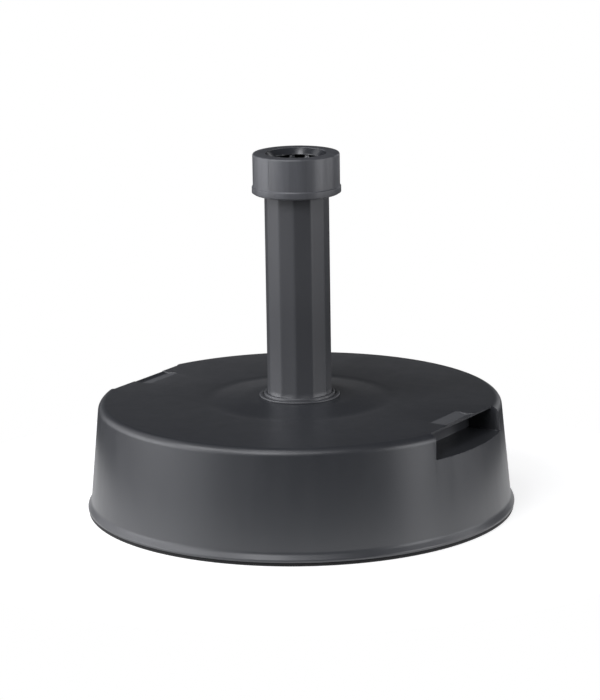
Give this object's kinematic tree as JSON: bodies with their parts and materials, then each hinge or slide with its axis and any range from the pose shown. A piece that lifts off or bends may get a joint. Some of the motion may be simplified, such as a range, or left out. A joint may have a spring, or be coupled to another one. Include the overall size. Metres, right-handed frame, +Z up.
{
  "type": "parasol base",
  "caption": "Concrete-filled plastic parasol base with hand pockets, a faceted stand pipe and a twist-lock nut that closes a collet on the pole.",
  "frame": {"origin": "middle of the footprint, on the ground under the pole axis", "axes": "+Z up along the pole axis, +X through the middle of one hand pocket"},
  "size_m": [0.48, 0.48, 0.402],
  "materials": {
    "shell_plastic": "charcoal moulded plastic with a fine satin grain",
    "pipe_plastic": "charcoal satin plastic, smooth flat facets",
    "nut_plastic": "charcoal satin plastic with a faint mould line",
    "tray_plastic": "black moulded plastic",
    "collet_plastic": "black slippery engineering plastic, semi-gloss",
    "foot_rubber": "dull black rubber",
    "cast_concrete": "rough cast grey concrete with fine pores",
    "zinc_steel": "bright zinc-plated steel"
  },
  "bodies": {
    "base": {"outer_shell": "shell_plastic", "bottom_tray": "tray_plastic", "concrete_ballast": "cast_concrete", "foot_pad_1": "foot_rubber", "foot_pad_2": "foot_rubber", "foot_pad_3": "foot_rubber", "foot_pad_4": "foot_rubber", "foot_pad_5": "foot_rubber", "foot_pad_6": "foot_rubber", "foot_pad_7": "foot_rubber", "foot_pad_8": "foot_rubber", "tray_screw_1": "zinc_steel", "tray_screw_2": "zinc_steel", "tray_screw_3": "zinc_steel", "tray_screw_4": "zinc_steel", "tray_screw_5": "zinc_steel", "tray_screw_6": "zinc_steel", "tube_socket": "tray_plastic", "pole_tube": "pipe_plastic", "foot_ring": "pipe_plastic", "pole_stop": "tray_plastic", "anchor_bolt": "zinc_steel", "anchor_washer": "zinc_steel", "anchor_nut": "zinc_steel", "tube_head": "tray_plastic"},
    "collet": {"collet_ring": "collet_plastic", "slip_washer": "collet_plastic"},
    "clamp_nut": {"clamp_nut": "nut_plastic"},
    "finger_01": {"collet_finger_01": "collet_plastic"},
    "finger_02": {"collet_finger_02": "collet_plastic"},
    "finger_03": {"collet_finger_03": "collet_plastic"},
    "finger_04": {"collet_finger_04": "collet_plastic"},
    "finger_05": {"collet_finger_05": "collet_plastic"},
    "finger_06": {"collet_finger_06": "collet_plastic"},
    "finger_07": {"collet_finger_07": "collet_plastic"},
    "finger_08": {"collet_finger_08": "collet_plastic"},
    "finger_09": {"collet_finger_09": "collet_plastic"},
    "finger_10": {"collet_finger_10": "collet_plastic"}
  },
  "joints": [
    {"name": "nut_travel", "type": "slide", "parent": "base", "child": "collet", "axis": [0, 0, 1], "range_m": [-0.008, 0]},
    {"name": "nut_twist", "type": "hinge", "parent": "collet", "child": "clamp_nut", "pos_m": [0, 0, 0.38], "axis": [0, 0, 1], "range_deg": [-720, 0]},
    {"name": "finger_01_close", "type": "hinge", "parent": "collet", "child": "finger_01", "pos_m": [0.02623, 0.0114, 0.3936], "axis": [-0.3987, 0.9171, 0], "range_deg": [0, 5]},
    {"name": "finger_02_close", "type": "hinge", "parent": "collet", "child": "finger_02", "pos_m": [0.01452, 0.02464, 0.3936], "axis": [-0.8616, 0.5075, 0], "range_deg": [0, 5]},
    {"name": "finger_03_close", "type": "hinge", "parent": "collet", "child": "finger_03", "pos_m": [-0.00274, 0.02847, 0.3936], "axis": [-0.9954, -0.0958, 0], "range_deg": [0, 5]},
    {"name": "finger_04_close", "type": "hinge", "parent": "collet", "child": "finger_04", "pos_m": [-0.01895, 0.02142, 0.3936], "axis": [-0.749, -0.6626, 0], "range_deg": [0, 5]},
    {"name": "finger_05_close", "type": "hinge", "parent": "collet", "child": "finger_05", "pos_m": [-0.02792, 0.00619, 0.3936], "axis": [-0.2164, -0.9763, 0], "range_deg": [0, 5]},
    {"name": "finger_06_close", "type": "hinge", "parent": "collet", "child": "finger_06", "pos_m": [-0.02623, -0.0114, 0.3936], "axis": [0.3987, -0.9171, 0], "range_deg": [0, 5]},
    {"name": "finger_07_close", "type": "hinge", "parent": "collet", "child": "finger_07", "pos_m": [-0.01452, -0.02464, 0.3936], "axis": [0.8616, -0.5075, 0], "range_deg": [0, 5]},
    {"name": "finger_08_close", "type": "hinge", "parent": "collet", "child": "finger_08", "pos_m": [0.00274, -0.02847, 0.3936], "axis": [0.9954, 0.0958, 0], "range_deg": [0, 5]},
    {"name": "finger_09_close", "type": "hinge", "parent": "collet", "child": "finger_09", "pos_m": [0.01895, -0.02142, 0.3936], "axis": [0.749, 0.6626, 0], "range_deg": [0, 5]},
    {"name": "finger_10_close", "type": "hinge", "parent": "collet", "child": "finger_10", "pos_m": [0.02792, -0.00619, 0.3936], "axis": [0.2164, 0.9763, 0], "range_deg": [0, 5]}
  ],
  "couplings": [
    {"joint": "nut_travel", "follows": "nut_twist", "m_per_rad": 0.00063662},
    {"joint": "finger_01_close", "follows": "nut_twist", "ratio": -0.0069444},
    {"joint": "finger_02_close", "follows": "nut_twist", "ratio": -0.0069444},
    {"joint": "finger_03_close", "follows": "nut_twist", "ratio": -0.0069444},
    {"joint": "finger_04_close", "follows": "nut_twist", "ratio": -0.0069444},
    {"joint": "finger_05_close", "follows": "nut_twist", "ratio": -0.0069444},
    {"joint": "finger_06_close", "follows": "nut_twist", "ratio": -0.0069444},
    {"joint": "finger_07_close", "follows": "nut_twist", "ratio": -0.0069444},
    {"joint": "finger_08_close", "follows": "nut_twist", "ratio": -0.0069444},
    {"joint": "finger_09_close", "follows": "nut_twist", "ratio": -0.0069444},
    {"joint": "finger_10_close", "follows": "nut_twist", "ratio": -0.0069444}
  ]
}
